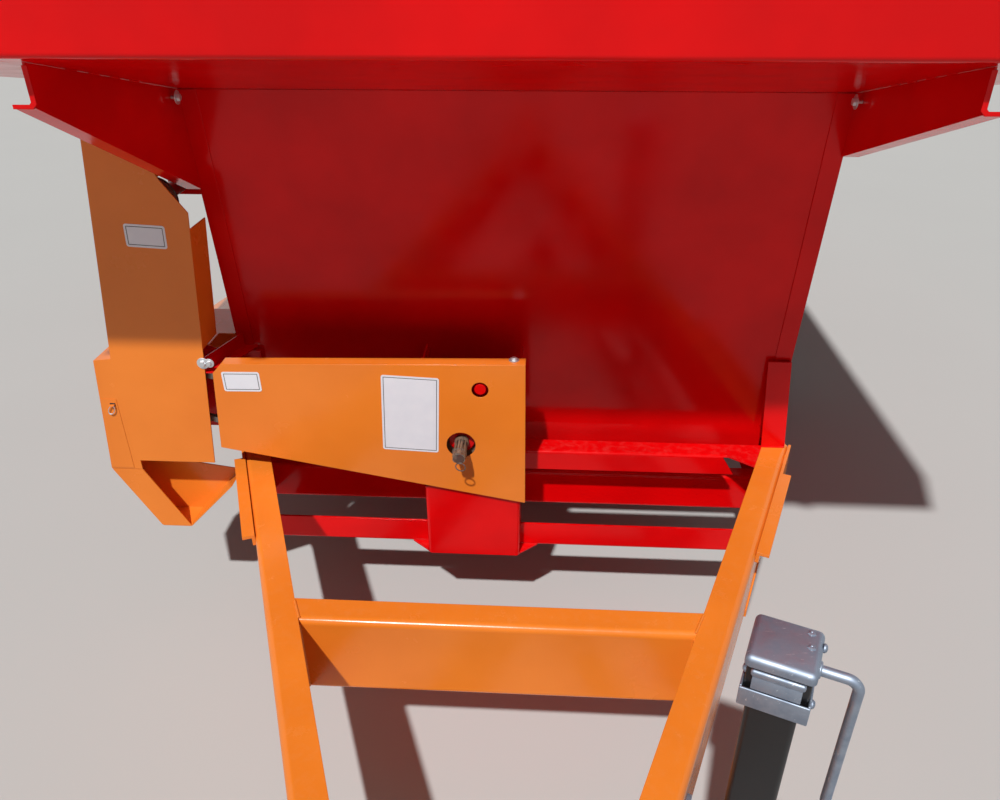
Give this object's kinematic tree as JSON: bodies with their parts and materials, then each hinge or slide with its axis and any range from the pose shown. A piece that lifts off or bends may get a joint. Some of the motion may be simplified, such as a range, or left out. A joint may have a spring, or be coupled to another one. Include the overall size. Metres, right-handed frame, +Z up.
{
  "type": "front-discharge feed wagon",
  "caption": "Towed feed wagon with a flared steel box, moving apron floor, beaters, a left-hand cross conveyor, walking-beam wheels and an A-frame tongue on a swivel jack",
  "frame": {"origin": "centre of the wagon's plan on the ground, under the middle of its overall length and width", "axes": "+X to the wagon's side opposite the discharge, +Y from the tongue towards the rear, +Z up"},
  "size_m": [2.44, 5.6258, 1.97],
  "materials": {
    "orange_enamel": "gloss enamel",
    "red_enamel": "gloss enamel",
    "wheel_paint": "gloss enamel",
    "tyre_rubber": "moulded rubber",
    "bare_steel": "worn bare steel",
    "cast_iron": "painted casting",
    "black_enamel": "satin enamel",
    "zinc_plate": "zinc plated"
  },
  "bodies": {
    "wagon": {"apron_conveyor": "bare_steel", "apron_floor": "red_enamel", "apron_shafts": "bare_steel", "axle_tube": "red_enamel", "beater_gearbox": "cast_iron", "beater_guard": "orange_enamel", "chain_shield": "orange_enamel", "chassis_crossmembers": "red_enamel", "chassis_sills": "red_enamel", "cross_bearers": "red_enamel", "cross_conveyor": "bare_steel", "cross_shafts": "bare_steel", "cross_trough": "red_enamel", "discharge_hood": "orange_enamel", "drive_brackets": "red_enamel", "drive_chains": "bare_steel", "drive_guard": "orange_enamel", "flange_bearings": "cast_iron", "flare_front": "red_enamel", "flare_rear": "red_enamel", "flare_sides": "red_enamel", "front_angle": "red_enamel", "front_posts": "red_enamel", "front_wall": "red_enamel", "front_wings": "red_enamel", "guard_arm": "red_enamel", "guard_vee": "orange_enamel", "hitch_clevis": "orange_enamel", "jack_mount": "zinc_plate", "lower_bar": "red_enamel", "rear_bumper": "red_enamel", "rear_wall": "red_enamel", "shaft_pedestal": "red_enamel", "side_stakes": "red_enamel", "side_wall_left": "red_enamel", "side_wall_right": "red_enamel", "tongue_crossmember": "orange_enamel", "tongue_gussets": "orange_enamel", "tongue_rails": "orange_enamel", "walking_beams": "red_enamel"},
    "input_shaft": {"input_shaft": "bare_steel"},
    "jackshaft": {"jackshaft": "bare_steel"},
    "beater_drive": {"beater_drive_shaft": "bare_steel"},
    "beater_upper": {"beater_upper": "red_enamel"},
    "beater_lower": {"beater_lower": "red_enamel"},
    "jack": {"jack_body": "black_enamel", "jack_head": "zinc_plate", "jack_crank": "zinc_plate"},
    "jack_leg": {"jack_leg": "zinc_plate"},
    "wheel_front_left": {"tyre_front_left": "tyre_rubber", "rim_front_left": "wheel_paint"},
    "wheel_front_right": {"tyre_front_right": "tyre_rubber", "rim_front_right": "wheel_paint"},
    "wheel_rear_left": {"tyre_rear_left": "tyre_rubber", "rim_rear_left": "wheel_paint"},
    "wheel_rear_right": {"tyre_rear_right": "tyre_rubber", "rim_rear_right": "wheel_paint"}
  },
  "joints": [
    {"name": "wheel_front_left_spin", "type": "hinge", "parent": "wagon", "child": "wheel_front_left", "pos_m": [-1.037, 0.93291, 0.38], "axis": [1, 0, 0], "continuous": true},
    {"name": "wheel_front_right_spin", "type": "hinge", "parent": "wagon", "child": "wheel_front_right", "pos_m": [1.037, 0.93291, 0.38], "axis": [1, 0, 0], "continuous": true},
    {"name": "wheel_rear_left_spin", "type": "hinge", "parent": "wagon", "child": "wheel_rear_left", "pos_m": [-1.037, 1.83291, 0.38], "axis": [1, 0, 0], "continuous": true},
    {"name": "wheel_rear_right_spin", "type": "hinge", "parent": "wagon", "child": "wheel_rear_right", "pos_m": [1.037, 1.83291, 0.38], "axis": [1, 0, 0], "continuous": true},
    {"name": "input_spin", "type": "hinge", "parent": "wagon", "child": "input_shaft", "pos_m": [-0.124, -0.81309, 0.645], "axis": [0, 1, 0], "continuous": true},
    {"name": "jackshaft_spin", "type": "hinge", "parent": "wagon", "child": "jackshaft", "pos_m": [-0.925, -0.77909, 0.775], "axis": [0, 1, 0], "continuous": true},
    {"name": "beater_drive_spin", "type": "hinge", "parent": "wagon", "child": "beater_drive", "pos_m": [-0.875, -0.74109, 1.265], "axis": [0, 1, 0], "continuous": true},
    {"name": "beater_upper_spin", "type": "hinge", "parent": "wagon", "child": "beater_upper", "pos_m": [0, -0.23709, 1.265], "axis": [1, 0, 0], "continuous": true},
    {"name": "beater_lower_spin", "type": "hinge", "parent": "wagon", "child": "beater_lower", "pos_m": [0, -0.07709, 0.945], "axis": [1, 0, 0], "continuous": true},
    {"name": "jack_swivel", "type": "hinge", "parent": "wagon", "child": "jack", "pos_m": [0.3432, -1.79009, 0.445], "axis": [0.9272, -0.3746, 0], "range_deg": [0, 90]},
    {"name": "jack_leg_slide", "type": "slide", "parent": "jack", "child": "jack_leg", "axis": [0, 0, 1], "range_m": [-0.05, 0.21]}
  ],
  "couplings": [
    {"joint": "jackshaft_spin", "follows": "input_spin", "ratio": 2},
    {"joint": "beater_drive_spin", "follows": "input_spin", "ratio": 2.3333},
    {"joint": "beater_upper_spin", "follows": "input_spin", "ratio": 1.1667},
    {"joint": "beater_lower_spin", "follows": "input_spin", "ratio": 1.1667}
  ]
}
